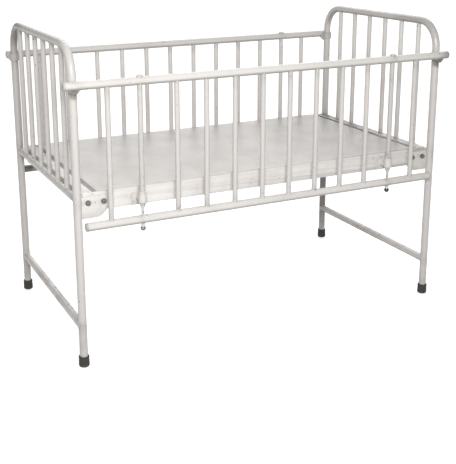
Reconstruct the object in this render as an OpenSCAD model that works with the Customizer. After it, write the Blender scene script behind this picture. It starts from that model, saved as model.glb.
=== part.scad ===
// Pediatric hospital cot with two drop sides.
// X runs along the cot, Y across it (the near side is -Y) and Z is up.
// The origin is on the floor under the middle of the cot. Sizes are in millimetres.

/* [Overall] */
// Distance between the post centres along the cot
post_span_x = 1300; // [1200:10:1400]
// Distance between the post centres across the cot
post_span_y = 680; // [620:10:740]
// Height of the end hoops, top of the tube
cot_height = 1004; // [960:1:1060]
// Height of the mattress platform, top of the sheet
platform_top = 554; // [540:1:570]

/* [End frames] */
// Outer diameter of the posts, rails and stretchers
tube_d = 25.4; // [24:0.1:27]
// Wall thickness of the large tube
tube_wall = 1.6; // [1.2:0.1:2.5]
// Bend radius of the hoops, to the tube's centreline
hoop_bend_r = 88; // [70:1:110]
// Height of the low stretcher, tube centre
stretcher_z = 133; // [100:1:200]
// Height of the tube under the end bars, tube centre
cross_tube_z = 537; // [525:1:545]
// Outer diameter of the tube under the end bars
cross_tube_d = 22; // [20:0.1:25.4]
// Number of bars in each end
end_bar_count = 6; // [4:1:7]

/* [Bars] */
// Outer diameter of the bars and guide tubes
bar_d = 16; // [14:0.5:18]
// Wall thickness of the bars
bar_wall = 1.2; // [1:0.1:2]
// Pitch of the bars along a drop side
bar_pitch = 98; // [90:1:98]
// Extra room between the left guide tube and the next bar
bar_extra = 20; // [10:1:24]

/* [Drop sides] */
// Height of the top rail when the side is up, tube centre
top_rail_z = 882; // [870:1:890]
// Height of the bottom rail when the side is up, tube centre
bottom_rail_z = 458; // [450:1:462]
// Distance from the post centres out to the rails
rail_offset = 27; // [26:0.5:30]
// How far the near top rail passes the left post centre
near_left_overhang = 38; // [24:1:40]
// How far the near top rail passes the right post centre
near_right_overhang = 30; // [24:1:40]
// How far the far top rail passes each post centre
far_overhang = 25; // [24:1:40]
// How far the bottom rails stop short of the left post centres
left_setback = 13; // [12:1:30]
// How far the bottom rails stop short of the right post centres
right_setback = 20; // [12:1:30]

/* [Mattress frame] */
// Height of the side angle iron
angle_h = 57.5; // [50:0.5:60]
// Width of the side angle iron's bottom flange
angle_w = 40; // [30:1:50]
// Height of the end angle iron
end_angle_h = 36; // [30:0.5:40]
// Width of the end angle iron's top flange
end_angle_w = 34; // [30:0.5:38]
// Thickness of the angle iron
angle_t = 4; // [3:0.5:5]
// Distance from the post centres in to the frame's outer faces
frame_inset_y = 10; // [9:0.5:14]
// Distance from the post centres in to the end angle iron
frame_inset_x = 17; // [14:0.5:18]
// Distance from the post centres in to the ends of the side angle iron
side_angle_inset = 21; // [20:0.5:22]
// Thickness of the platform sheet
sheet_t = 1.5; // [1:0.1:2]
// Depth of the sheet's folded lips along the sides
lip_h = 10; // [6:0.5:10]
// Distance from the post centres to the ends of the sheet
sheet_inset = 65; // [60:1:80]

/* [Hidden] */

$fn = 48;
enamel = [0.93, 0.92, 0.89];
sheet_grey = [0.84, 0.83, 0.81];
rubber_black = [0.13, 0.13, 0.13];
steel_dark = [0.32, 0.31, 0.30];
steel_bright = [0.62, 0.62, 0.62];
knob_black = [0.07, 0.07, 0.07];

// Which end and which side a corner is at
left = -1;
right = 1;
near = -1;
far = 1;
past = 1; // a cutting shape runs this far past what it cuts

tube_r = tube_d / 2;
bar_r = bar_d / 2;
post_x = post_span_x / 2;
post_y = post_span_y / 2;
hoop_z = cot_height - tube_r;
bend_z = hoop_z - hoop_bend_r;
hoop_flat_y = post_y - hoop_bend_r;
end_bar_pitch = post_span_y / (end_bar_count + 1);
cross_tube_r = cross_tube_d / 2;

// Feet
foot_r = 17;
foot_h = 36;
foot_floor = 8; // rubber between the post's end and the floor
foot_round = 7; // its low edge
foot_bevel = 2; // its top edge

// Corner plates and their bolts
plate_t = 5;
plate_w = 97;
plate_top = 541;
near_plate = [474, 40]; // height of the plate's bottom, radius of its free corner
far_plate = [507, 16];
bolt_z = 522;
left_bolts = [35, 84]; // from the post's centre
right_bolts = [30, 73];
bolt_r = 4;
bolt_hole_r = 4.4;
bolt_head_h = 5.3;
bolt_af = 13; // across the flats
washer_r = 8.5;
washer_t = 1.6;
nut_h = 6.8;
bolt_end = 1.6; // thread past the nut

// Mattress frame
frame_x = post_x - frame_inset_x;
side_angle_x = post_x - side_angle_inset;
frame_y = post_y - frame_inset_y;
frame_top = platform_top - sheet_t;
frame_bottom = frame_top - angle_h;
sheet_x = post_x - sheet_inset;
sheet_fold = 20;
brace_x = [-300, 0, 300];
brace_w = 30;
brace_t = 3;
plate_face_y = frame_y + plate_t;
bolt_length = washer_t + plate_t + angle_t + washer_t + nut_h + bolt_end;

// Drop sides
rail_y = post_y + rail_offset;
near_top_ends = [-post_x - near_left_overhang, post_x + near_right_overhang];
far_top_ends = [-post_x - far_overhang, post_x + far_overhang];
bottom_ends = [-post_x + left_setback, post_x - right_setback];
guide_left_x = -post_x + 2 * bar_pitch;
bar_run_x = guide_left_x + bar_pitch + bar_extra;
guide_right_x = bar_run_x + 8 * bar_pitch;
guide_x = [guide_left_x, guide_right_x];
end_bar_shift = 3; // the first and last bars stand this far left of the even pitch
side_bar_x = [
    guide_left_x - bar_pitch - end_bar_shift,
    for (i = [0:7]) bar_run_x + i * bar_pitch,
    bar_run_x + 9 * bar_pitch - end_bar_shift
];
rail_rim_t = 3; // straight rim of the cap on each end of a rail
rail_dome_h = 3; // height of its dome
rail_cap_h = rail_rim_t + rail_dome_h;

// Guide tubes, the bell-shaped brackets that carry them and the rods that run in them
guide_wall = 1.6;
guide_gap = 0.5; // all round the guide tube where it passes the top rail
bell_bottom = 496;
bell_top = 546;
bell_r = 13;
bell_neck_r = 6.8;
bell_flare_r = 24;
bell_shoulder = 524;
bell_mouth_r = 10.4;
socket_depth = 16;
rod_r = 4.25;
rod_bore_r = 4.65;
rod_top = 880;
flange_w = 42;
flange_bottom = 497;
flange_top = 535;
flange_t = 4;
arm_r = 9;
arm_z = 517;
cap_r = 11;
cap_h = 5.5;
cap_gap = 0.5; // between the top rail and the cap
cap_spigot = 14;

// Spring catch inside each bracket's arm
catch_bore_r = 3.6;
catch_ball_r = 3.3;
catch_gap = 0.3; // ball drawn back clear of the rod
catch_screw_l = 8;
catch_coils = 5;
catch_wire_r = 0.45;
access_hole_r = 5;
catch_ball_out = rail_y - rod_r - catch_gap - catch_ball_r;
catch_screw_out = frame_y + catch_screw_l;
catch_spring_l = catch_ball_out - catch_ball_r - catch_screw_out;

// Collars that ride on the posts
collar_r = 17;
collar_bore_r = tube_r + 0.4;
collar_bottom = 864;
collar_top = 889;
saddle_w = 40; // along the rail where it meets the rail
saddle_foot_w = 12; // along the rail at its bottom
saddle_bottom = 856;
saddle_y = [8, 23]; // from the post's centre out to its inner and outer faces

// Rod nuts and knobs under the bottom rail
rod_nut_h = 6;
rod_nut_af = 12;
knob_r = 8.3;
knob_neck_r = 5.2;
rail_under = bottom_rail_z - tube_r;
knob_top = rail_under - rod_nut_h;
knob_z = knob_top - knob_r - 1.4;

// ---- Shapes that repeat ----

module tube_along_x(r, half) {
    rotate([0, 90, 0]) cylinder(r = r, h = 2 * half, center = true);
}

module tube_along_y(r, half) {
    rotate([90, 0, 0]) cylinder(r = r, h = 2 * half, center = true);
}

// A hexagon prism along Z, by its size across the flats
module hexagon(across_flats, h) {
    cylinder(d = across_flats / cos(30), h = h, $fn = 6);
}

// Its children at one corner: +X and +Y point from the post towards the cot's middle
module at_corner(end, side) {
    translate([end * post_x, side * post_y, 0])
        mirror([end > 0 ? 1 : 0, 0, 0])
            mirror([0, side > 0 ? 1 : 0, 0]) children();
}

// Its children drawn for the near side, or turned over to the far side
module on_side(side) {
    mirror([0, side > 0 ? 1 : 0, 0]) children();
}

// A low dome of height h on a round base of radius r
module dome(r, h) {
    sphere_r = (r * r + h * h) / (2 * h);
    rotate_extrude() intersection() {
        square([r, h]);
        translate([0, h - sphere_r]) circle(r = sphere_r, $fn = 96);
    }
}

// Distances of the frame bolts from the post's centre at one end
function bolt_inset(end) = end < 0 ? left_bolts : right_bolts;

// Its children at both guide tubes of both sides
module at_every_guide() {
    for (side = [near, far], x = guide_x) on_side(side) translate([x, 0, 0]) children();
}

// ---- End frames ----

// The hoop's bent path as a solid rod of radius r, its legs cut at leg_bottom
module hoop_rod(r, leg_bottom) {
    for (side = [near, far]) {
        translate([0, side * post_y, leg_bottom]) cylinder(r = r, h = bend_z - leg_bottom);
        translate([0, side * hoop_flat_y, bend_z])
            rotate([90, 0, side * 90]) rotate_extrude(angle = 90)
                translate([hoop_bend_r, 0]) circle(r = r);
    }
    translate([0, 0, hoop_z]) tube_along_y(r, hoop_flat_y);
}

module end_hoop(end) {
    color(enamel) translate([end * post_x, 0, 0]) difference() {
        hoop_rod(tube_r, foot_floor);
        hoop_rod(tube_r - tube_wall, foot_floor - past);
    }
}

// A tube of radius r across the end, shaped at both ends to the round posts
module end_tube(end, z, r) {
    color(enamel) translate([end * post_x, 0, z]) difference() {
        tube_along_y(r, post_y);
        tube_along_y(r - tube_wall, post_y + past);
        for (side = [near, far]) translate([0, side * post_y, -post_x])
            cylinder(r = tube_r, h = post_span_x);
    }
}

module end_bars(end) {
    color(enamel) translate([end * post_x, 0, 0]) difference() {
        for (i = [1:end_bar_count])
            translate([0, i * end_bar_pitch - post_y, cross_tube_z]) difference() {
                cylinder(r = bar_r, h = hoop_z - cross_tube_z);
                translate([0, 0, -past])
                    cylinder(r = bar_r - bar_wall, h = hoop_z - cross_tube_z + 2 * past);
            }
        translate([0, 0, cross_tube_z]) tube_along_y(cross_tube_r, post_y);
        translate([0, 0, hoop_z]) tube_along_y(tube_r, post_y);
    }
}

module foot(end, side) {
    color(rubber_black) translate([end * post_x, side * post_y, 0]) difference() {
        rotate_extrude() {
            square([foot_r - foot_round, foot_h]);
            translate([foot_r - foot_round, foot_round]) circle(r = foot_round);
            polygon([
                [0, foot_round], [foot_r, foot_round], [foot_r - 1, foot_h - foot_bevel],
                [foot_r - 1 - foot_bevel, foot_h], [0, foot_h]
            ]);
        }
        translate([0, 0, foot_floor]) cylinder(r = tube_r, h = foot_h);
    }
}

// A flat plate welded to the post and the cross tube, with its free low corner rounded
module corner_plate(end, side) {
    plate = side < 0 ? near_plate : far_plate;
    bottom = plate[0];
    corner = plate[1];
    color(enamel) at_corner(end, side) difference() {
        translate([0, frame_inset_y, 0]) rotate([90, 0, 0]) linear_extrude(plate_t)
            difference() {
                translate([0, bottom]) square([plate_w, plate_top - bottom]);
                translate([plate_w - corner, bottom]) difference() {
                    square(corner);
                    translate([0, corner]) circle(r = corner);
                }
            }
        translate([0, 0, bottom - past]) cylinder(r = tube_r, h = 2 * plate_w);
        translate([0, 0, cross_tube_z]) tube_along_y(cross_tube_r, post_y);
        for (x = bolt_inset(end)) translate([x, 0, bolt_z]) tube_along_y(bolt_hole_r, post_y);
    }
}

// ---- Mattress frame and platform ----

// An upright leg that stands on a bottom flange
module side_angle(side) {
    color(enamel) on_side(side) difference() {
        translate([-side_angle_x, -frame_y, frame_bottom]) rotate([90, 0, 90])
            linear_extrude(2 * side_angle_x) {
                square([angle_t, angle_h]);
                square([angle_w, angle_t]);
            }
        for (end = [left, right], x = bolt_inset(end))
            translate([end * (post_x - x), -frame_y, bolt_z])
                tube_along_y(bolt_hole_r, 2 * angle_t);
        for (x = guide_x)
            translate([x, -frame_y, arm_z]) tube_along_y(access_hole_r, 2 * angle_t);
    }
}

// Angle iron across the cot between the side angles, with its flange at the top
module cross_angle(w, h, t) {
    inner_y = frame_y - angle_t;
    translate([0, inner_y, 0]) rotate([90, 0, 0]) linear_extrude(2 * inner_y) {
        translate([0, frame_top - h]) square([t, h]);
        translate([0, frame_top - t]) square([w, t]);
    }
}

module end_angle(end) {
    color(enamel) mirror([end > 0 ? 1 : 0, 0, 0]) translate([-frame_x, 0, 0])
        cross_angle(end_angle_w, end_angle_h, angle_t);
}

module frame_braces() {
    color(enamel) for (x = brace_x) translate([x - brace_w / 2, 0, 0])
        cross_angle(brace_w, brace_w, brace_t);
}

// One sheet with lips down over the sides and folds down inside the ends
module platform_sheet() {
    fold_y = frame_y - angle_t - 1; // just inside the side angle irons
    color(sheet_grey) {
        translate([-sheet_x, -frame_y, frame_top]) cube([2 * sheet_x, 2 * frame_y, sheet_t]);
        for (side = [near, far]) on_side(side)
            translate([-sheet_x, -frame_y - sheet_t, platform_top - lip_h])
                cube([2 * sheet_x, sheet_t, lip_h]);
        for (end = [left, right]) mirror([end > 0 ? 1 : 0, 0, 0])
            translate([-sheet_x, -fold_y, frame_top - sheet_fold])
                cube([sheet_t, 2 * fold_y, sheet_fold]);
    }
}

// Its children at every frame bolt, with +Z along the bolt from its head inwards
module at_every_bolt() {
    for (end = [left, right], side = [near, far], x = bolt_inset(end))
        at_corner(end, side) translate([x, frame_inset_y - plate_t, bolt_z])
            rotate([-90, 0, 0]) children();
}

module frame_bolts() {
    color(steel_dark) at_every_bolt() {
        translate([0, 0, -washer_t - bolt_head_h]) hexagon(bolt_af, bolt_head_h);
        translate([0, 0, -washer_t]) cylinder(r = bolt_r, h = bolt_length);
    }
}

module frame_washers() {
    color(steel_dark) at_every_bolt()
        for (z = [-washer_t, plate_t + angle_t]) translate([0, 0, z]) difference() {
            cylinder(r = washer_r, h = washer_t);
            translate([0, 0, -past]) cylinder(r = bolt_r, h = washer_t + 2 * past);
        }
}

module frame_nuts() {
    color(steel_dark) at_every_bolt()
        translate([0, 0, plate_t + angle_t + washer_t]) difference() {
            hexagon(bolt_af, nut_h);
            translate([0, 0, -past]) cylinder(r = bolt_r, h = nut_h + 2 * past);
        }
}

// ---- Guides fixed to the mattress frame ----

// Half section of the bell: a narrow neck that flares to the shoulder
module bell_section() {
    difference() {
        translate([0, bell_bottom]) square([bell_r, bell_shoulder - bell_bottom]);
        translate([bell_neck_r + bell_flare_r, bell_bottom]) circle(r = bell_flare_r, $fn = 96);
    }
    polygon([[0, bell_shoulder], [bell_r, bell_shoulder], [bell_mouth_r, bell_top], [0, bell_top]]);
}

module guide_bracket(x, side) {
    color(enamel) on_side(side) translate([x, 0, 0]) difference() {
        union() {
            translate([0, -rail_y, 0]) rotate_extrude() bell_section();
            translate([0, -frame_y, arm_z]) rotate([90, 0, 0])
                cylinder(r = arm_r, h = rail_y - frame_y);
            translate([-flange_w / 2, -frame_y - flange_t, flange_bottom])
                cube([flange_w, flange_t, flange_top - flange_bottom]);
        }
        translate([0, -rail_y, bell_bottom - past]) cylinder(r = rod_bore_r, h = bell_top);
        translate([0, -rail_y, bell_top - socket_depth]) cylinder(r = bar_r, h = bell_top);
        translate([0, past - frame_y, arm_z]) rotate([90, 0, 0])
            cylinder(r = catch_bore_r, h = rail_y - frame_y + past);
    }
}

module guide_tube(x, side) {
    bottom = bell_top - socket_depth;
    top = top_rail_z + tube_r + cap_gap;
    color(enamel) on_side(side) translate([x, -rail_y, bottom]) difference() {
        cylinder(r = bar_r, h = top - bottom);
        translate([0, 0, -past]) cylinder(r = bar_r - guide_wall, h = top - bottom + 2 * past);
    }
}

// A low domed cap with a spigot that is driven into the guide tube
module guide_cap(x, side) {
    color(enamel) on_side(side)
        translate([x, -rail_y, top_rail_z + tube_r + cap_gap]) {
            dome(cap_r, cap_h);
            translate([0, 0, -cap_spigot]) cylinder(r = bar_r - guide_wall, h = cap_spigot);
        }
}

module catch_balls() {
    color(steel_bright) at_every_guide()
        translate([0, -catch_ball_out, arm_z]) sphere(r = catch_ball_r);
}

module catch_screws() {
    color(steel_dark) at_every_guide()
        translate([0, -frame_y, arm_z]) rotate([90, 0, 0]) difference() {
            cylinder(r = catch_bore_r, h = catch_screw_l);
            translate([0, 0, -past]) hexagon(4, 4 + past);
        }
}

// Round wire rings, one for each coil of the catch spring
module catch_springs() {
    pitch = (catch_spring_l - 2 * catch_wire_r) / (catch_coils - 1);
    color(steel_bright) at_every_guide() for (i = [0:catch_coils - 1])
        translate([0, -catch_screw_out - catch_wire_r - i * pitch, arm_z]) rotate([90, 0, 0])
            rotate_extrude() translate([catch_bore_r - 0.4 - catch_wire_r, 0])
                circle(r = catch_wire_r, $fn = 16);
}

// ---- Drop sides ----

// A rail tube along X from ends[0] to ends[1] with an upright hole at each guide
module side_rail(side, z, ends, hole_r) {
    length = ends[1] - ends[0];
    color(enamel) on_side(side) translate([0, -rail_y, z]) difference() {
        translate([ends[0] + rail_cap_h, 0, 0]) rotate([0, 90, 0]) difference() {
            cylinder(r = tube_r, h = length - 2 * rail_cap_h);
            translate([0, 0, -past]) cylinder(r = tube_r - tube_wall, h = length);
        }
        for (x = guide_x) translate([x, 0, -tube_d]) cylinder(r = hole_r, h = 2 * tube_d);
    }
}

module side_bars(side) {
    length = top_rail_z - bottom_rail_z;
    color(enamel) on_side(side) translate([0, -rail_y, bottom_rail_z]) difference() {
        for (x = side_bar_x) translate([x, 0, 0]) difference() {
            cylinder(r = bar_r, h = length);
            translate([0, 0, -past]) cylinder(r = bar_r - bar_wall, h = length + 2 * past);
        }
        tube_along_x(tube_r, post_x);
        translate([0, 0, length]) tube_along_x(tube_r, post_x);
    }
}

// A ring that slides on the post behind the top rail, with a tapered saddle under the rail
module collar(end, side) {
    saddle_top = top_rail_z - tube_r;
    color(enamel) at_corner(end, side) difference() {
        union() {
            translate([0, 0, collar_bottom]) cylinder(r = collar_r, h = collar_top - collar_bottom);
            translate([0, -saddle_y[0], 0])
                rotate([90, 0, 0]) linear_extrude(saddle_y[1] - saddle_y[0]) polygon([
                    [-saddle_foot_w / 2, saddle_bottom], [saddle_foot_w / 2, saddle_bottom],
                    [saddle_w / 2, saddle_top], [saddle_w / 2, top_rail_z],
                    [-saddle_w / 2, top_rail_z], [-saddle_w / 2, saddle_top]
                ]);
        }
        translate([0, -rail_offset, top_rail_z]) tube_along_x(tube_r, post_x);
        translate([0, 0, saddle_bottom - past])
            cylinder(r = collar_bore_r, h = collar_top - saddle_bottom + 2 * past);
    }
}

module stay_rods(side) {
    color(enamel) on_side(side) for (x = guide_x)
        translate([x, -rail_y, knob_z]) cylinder(r = rod_r, h = rod_top - knob_z);
}

module rod_nuts(side) {
    color(enamel) on_side(side) for (x = guide_x)
        translate([x, -rail_y, knob_top]) difference() {
            hexagon(rod_nut_af, rod_nut_h);
            translate([0, 0, -past]) cylinder(r = rod_r, h = rod_nut_h + 2 * past);
        }
}

module rod_knobs(side) {
    color(knob_black) on_side(side) for (x = guide_x)
        translate([x, -rail_y, knob_z]) difference() {
            union() {
                sphere(r = knob_r);
                cylinder(r = knob_neck_r, h = knob_top - knob_z);
            }
            cylinder(r = rod_r, h = knob_r + past * 2);
        }
}

// Domed caps welded over the open ends of both rails
module rail_ends(side, top_ends) {
    color(enamel) on_side(side)
        for (rail = [[top_ends, top_rail_z], [bottom_ends, bottom_rail_z]], i = [0, 1])
            translate([rail[0][i], -rail_y, rail[1]]) rotate([0, i == 0 ? -90 : 90, 0]) {
                translate([0, 0, -rail_cap_h]) cylinder(r = tube_r, h = rail_rim_t);
                translate([0, 0, -rail_dome_h]) dome(tube_r, rail_dome_h);
            }
}

// ---- One line for each node ----

end_hoop(left);  // left_end_hoop
end_hoop(right);  // right_end_hoop
end_tube(left, cross_tube_z, cross_tube_r);  // left_cross_tube
end_tube(right, cross_tube_z, cross_tube_r);  // right_cross_tube
end_bars(left);  // left_end_bars
end_bars(right);  // right_end_bars
end_tube(left, stretcher_z, tube_r);  // left_stretcher
end_tube(right, stretcher_z, tube_r);  // right_stretcher
foot(left, near);  // foot_near_left
foot(right, near);  // foot_near_right
foot(left, far);  // foot_far_left
foot(right, far);  // foot_far_right
corner_plate(left, near);  // corner_plate_near_left
corner_plate(right, near);  // corner_plate_near_right
corner_plate(left, far);  // corner_plate_far_left
corner_plate(right, far);  // corner_plate_far_right
side_angle(near);  // near_frame_angle
side_angle(far);  // far_frame_angle
end_angle(left);  // left_frame_angle
end_angle(right);  // right_frame_angle
frame_braces();
platform_sheet();
frame_bolts();
frame_washers();
frame_nuts();
guide_bracket(guide_left_x, near);  // guide_bracket_near_left
guide_bracket(guide_right_x, near);  // guide_bracket_near_right
guide_bracket(guide_left_x, far);  // guide_bracket_far_left
guide_bracket(guide_right_x, far);  // guide_bracket_far_right
guide_tube(guide_left_x, near);  // guide_tube_near_left
guide_tube(guide_right_x, near);  // guide_tube_near_right
guide_tube(guide_left_x, far);  // guide_tube_far_left
guide_tube(guide_right_x, far);  // guide_tube_far_right
guide_cap(guide_left_x, near);  // guide_cap_near_left
guide_cap(guide_right_x, near);  // guide_cap_near_right
guide_cap(guide_left_x, far);  // guide_cap_far_left
guide_cap(guide_right_x, far);  // guide_cap_far_right
catch_balls();
catch_springs();
catch_screws();
side_rail(near, top_rail_z, near_top_ends, bar_r + guide_gap);  // near_top_rail
side_rail(near, bottom_rail_z, bottom_ends, rod_r);  // near_bottom_rail
side_bars(near);  // near_side_bars
collar(left, near);  // near_collar_left
collar(right, near);  // near_collar_right
stay_rods(near);  // near_stay_rods
rod_nuts(near);  // near_rod_nuts
rod_knobs(near);  // near_rod_knobs
rail_ends(near, near_top_ends);  // near_rail_ends
side_rail(far, top_rail_z, far_top_ends, bar_r + guide_gap);  // far_top_rail
side_rail(far, bottom_rail_z, bottom_ends, rod_r);  // far_bottom_rail
side_bars(far);  // far_side_bars
collar(left, far);  // far_collar_left
collar(right, far);  // far_collar_right
stay_rods(far);  // far_stay_rods
rod_nuts(far);  // far_rod_nuts
rod_knobs(far);  // far_rod_knobs
rail_ends(far, far_top_ends);  // far_rail_ends
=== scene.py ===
import math

import bmesh
import bpy
from mathutils import Matrix, Vector


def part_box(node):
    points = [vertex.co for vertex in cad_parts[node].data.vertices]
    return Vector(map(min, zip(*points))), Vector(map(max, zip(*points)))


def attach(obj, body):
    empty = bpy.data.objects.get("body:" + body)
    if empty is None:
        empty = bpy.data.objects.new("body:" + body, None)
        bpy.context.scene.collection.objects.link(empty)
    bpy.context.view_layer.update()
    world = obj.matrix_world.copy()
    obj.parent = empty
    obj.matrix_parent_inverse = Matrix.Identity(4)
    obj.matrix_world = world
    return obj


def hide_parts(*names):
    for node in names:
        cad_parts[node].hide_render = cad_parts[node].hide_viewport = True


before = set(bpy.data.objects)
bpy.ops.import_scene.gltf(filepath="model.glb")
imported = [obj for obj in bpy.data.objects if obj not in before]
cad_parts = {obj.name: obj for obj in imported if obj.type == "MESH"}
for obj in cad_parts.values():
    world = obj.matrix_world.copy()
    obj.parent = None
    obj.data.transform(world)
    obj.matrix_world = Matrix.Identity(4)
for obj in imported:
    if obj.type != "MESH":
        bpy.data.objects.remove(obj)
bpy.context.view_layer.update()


# Camera and studio. A long lens stands to the left of the near side, a little above the rails.
# One soft lamp burns close beside it, a weak broad one lifts the far side, and the floor and
# the wall round it are lit evenly, as in a white sweep.
camera_azimuth = math.radians(24.858)
camera_elevation = math.radians(14.591)
camera_roll = math.radians(-0.5015)
camera_place = Vector((-1.37867, -2.76129, 1.31608))
focal_px, centre_x, centre_y = 888.385, 197.711, 157.439
image_width, image_height = 456, 464
sensor_width = 36

ahead = Vector((math.sin(camera_azimuth) * math.cos(camera_elevation),
                math.cos(camera_azimuth) * math.cos(camera_elevation),
                -math.sin(camera_elevation)))
level_right = Vector((math.cos(camera_azimuth), -math.sin(camera_azimuth), 0))
level_up = level_right.cross(ahead)
camera_right = math.cos(camera_roll) * level_right + math.sin(camera_roll) * level_up
camera_up = math.cos(camera_roll) * level_up - math.sin(camera_roll) * level_right
lens = bpy.data.cameras.new("camera")
lens.sensor_width = sensor_width
lens.lens = focal_px * sensor_width / image_height
lens.shift_x = (image_width / 2 - centre_x) / image_height
lens.shift_y = (centre_y - image_height / 2) / image_height
lens.clip_end = 200


def shown(name, data):
    """Puts a new object in the scene."""
    thing = bpy.data.objects.new(name, data)
    bpy.context.scene.collection.objects.link(thing)
    return thing


camera = shown("camera", lens)
camera.matrix_world = Matrix((
    (camera_right.x, camera_up.x, -ahead.x, camera_place.x),
    (camera_right.y, camera_up.y, -ahead.y, camera_place.y),
    (camera_right.z, camera_up.z, -ahead.z, camera_place.z),
    (0, 0, 0, 1)))
bpy.context.scene.camera = camera
bpy.context.scene.view_settings.view_transform = "Standard"

warm_white = (1.0, 0.99, 0.98)
cot_middle = Vector((-0.1, 0, 0.6))
room = bpy.data.worlds.new("room")
room.use_nodes = True
room_light = room.node_tree.nodes["Background"].inputs
room_light["Color"].default_value = (*warm_white, 1)
room_light["Strength"].default_value = 0.40
bpy.context.scene.world = room


def lamp_at(name, kind, place, energy, **settings):
    """A lamp that hangs at a place and points at the middle of the cot."""
    lamp = bpy.data.lights.new(name, kind)
    lamp.energy = energy
    lamp.color = warm_white
    for setting, value in settings.items():
        setattr(lamp, setting, value)
    stand = shown(name, lamp)
    stand.location = place
    stand.rotation_euler = (Vector(place) - cot_middle).to_track_quat("Z", "Y").to_euler()
    stand.visible_camera = False


lamp_at("key_lamp", "AREA", (-1.00, -2.38, 1.55), 60, size=1.0)
lamp_at("back_lamp", "SUN", (1.2, 2.6, 2.9), 1.7, angle=math.radians(60))


def put(tree, kind, inputs=None, **settings):
    """Adds a node, sets its properties, and joins or sets its inputs."""
    node = tree.nodes.new(kind)
    for name, value in settings.items():
        setattr(node, name, value)
    for key, value in (inputs or {}).items():
        if isinstance(value, bpy.types.NodeSocket):
            tree.links.new(value, node.inputs[key])
        else:
            node.inputs[key].default_value = value
    return node


floor_paint = bpy.data.materials.new("pale_floor")
floor_paint.use_nodes = True
floor_paint.cycles.emission_sampling = "NONE"
for setting, value in (("Base Color", (0.93, 0.93, 0.925, 1)), ("Roughness", 0.9),
                       ("Specular IOR Level", 0.1), ("Emission Color", (1, 1, 1, 1)),
                       ("Emission Strength", 0.5)):
    floor_paint.node_tree.nodes["Principled BSDF"].inputs[setting].default_value = value


def circle(radius, z, steps):
    """Points evenly round the Z axis."""
    turns = [2 * math.pi * i / steps for i in range(steps)]
    return [(radius * math.cos(turn), radius * math.sin(turn), z) for turn in turns]


def swept(name, rings, steps=96):
    """A round studio surface through rings of (radius, height)."""
    points = [point for radius, z in rings for point in circle(radius, z, steps)]
    faces = [(k + i, k + (i + 1) % steps, k + steps + (i + 1) % steps, k + steps + i)
             for k in range(0, (len(rings) - 1) * steps, steps) for i in range(steps)]
    mesh = bpy.data.meshes.new(name)
    mesh.from_pydata(points, [], faces)
    mesh.materials.append(floor_paint)
    mesh.shade_smooth()
    surface = shown(name, mesh)
    surface.visible_diffuse = False
    return surface


swept("floor", [(0.001, 0), (2, 0), (8, 0), (40, 0)])
wall = swept("wall", [(40, 0), (44, 0.6), (46, 2), (47, 4.5), (47, 16)])
wall.visible_glossy = False
wall.visible_shadow = False


# End hoops. Each is one 25.4 mm steel bed tube, cold bent into two legs and a rounded top.
# Like all of the cot's steel it is brushed with white enamel, which has yellowed a little,
# gathered dirt at the joints and chipped where shoes and the sliding collars knock it.
post_x, post_y = 0.65, 0.34
tube_r = 0.0127
hoop_z = 0.9913
hoop_bend_r = 0.088
leg_end_z = 0.008
white_enamel = (0.615, 0.597, 0.583)
yellowed_enamel = (0.575, 0.55, 0.522)
# Dirt at the joints, also laid as painted shade on faces that look down.
joint_dirt_and_underside_shade = (0.30, 0.28, 0.255)
bared_steel = (0.075, 0.068, 0.062)
# Colour of dark spots that are painted shade, some of them also greasy.
shade_and_grease_dark = (0.10, 0.092, 0.082)


def stepped(tree, value, low, high, to_low=0.0, to_high=1.0):
    """Spreads a value smoothly from one range to another."""
    return put(tree, "ShaderNodeMapRange", {
        "Value": value, "From Min": low, "From Max": high, "To Min": to_low, "To Max": to_high,
    }, interpolation_type="SMOOTHSTEP").outputs["Result"]


def joined(tree, operation, first, second):
    """Two numbers put together by one sum."""
    return put(tree, "ShaderNodeMath", {0: first, 1: second}, operation=operation).outputs["Value"]


def mottle(tree, place, scale, detail=4.0, roughness=0.55):
    """Uneven grey blotches of one size."""
    return put(tree, "ShaderNodeTexNoise", {
        "Vector": place, "Scale": scale, "Detail": detail, "Roughness": roughness,
    }).outputs["Fac"]


def layered(tree, ground, layers):
    """A ground colour with layers (mask, colour) laid over it in turn."""
    colour = (*ground, 1)
    for mask, over in layers:
        colour = put(tree, "ShaderNodeMix", {0: mask, 6: colour, 7: (*over, 1)}, data_type="RGBA").outputs[2]
    return colour


def finish_started(name):
    """A new material: returns it, its tree, its shader's inputs and the place on the object."""
    finish = bpy.data.materials.new(name)
    finish.use_nodes = True
    tree = finish.node_tree
    place = put(tree, "ShaderNodeTexCoord").outputs["Object"]
    return finish, tree, tree.nodes["Principled BSDF"].inputs, place


def finish_joined(tree, shader, colour, roughness, strength, depth, height):
    """Joins a finish's colour, roughness and relief to its shader."""
    bump = put(tree, "ShaderNodeBump", {"Strength": strength, "Distance": depth, "Height": height})
    tree.links.new(colour, shader["Base Color"])
    tree.links.new(roughness, shader["Roughness"])
    tree.links.new(bump.outputs["Normal"], shader["Normal"])


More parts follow.
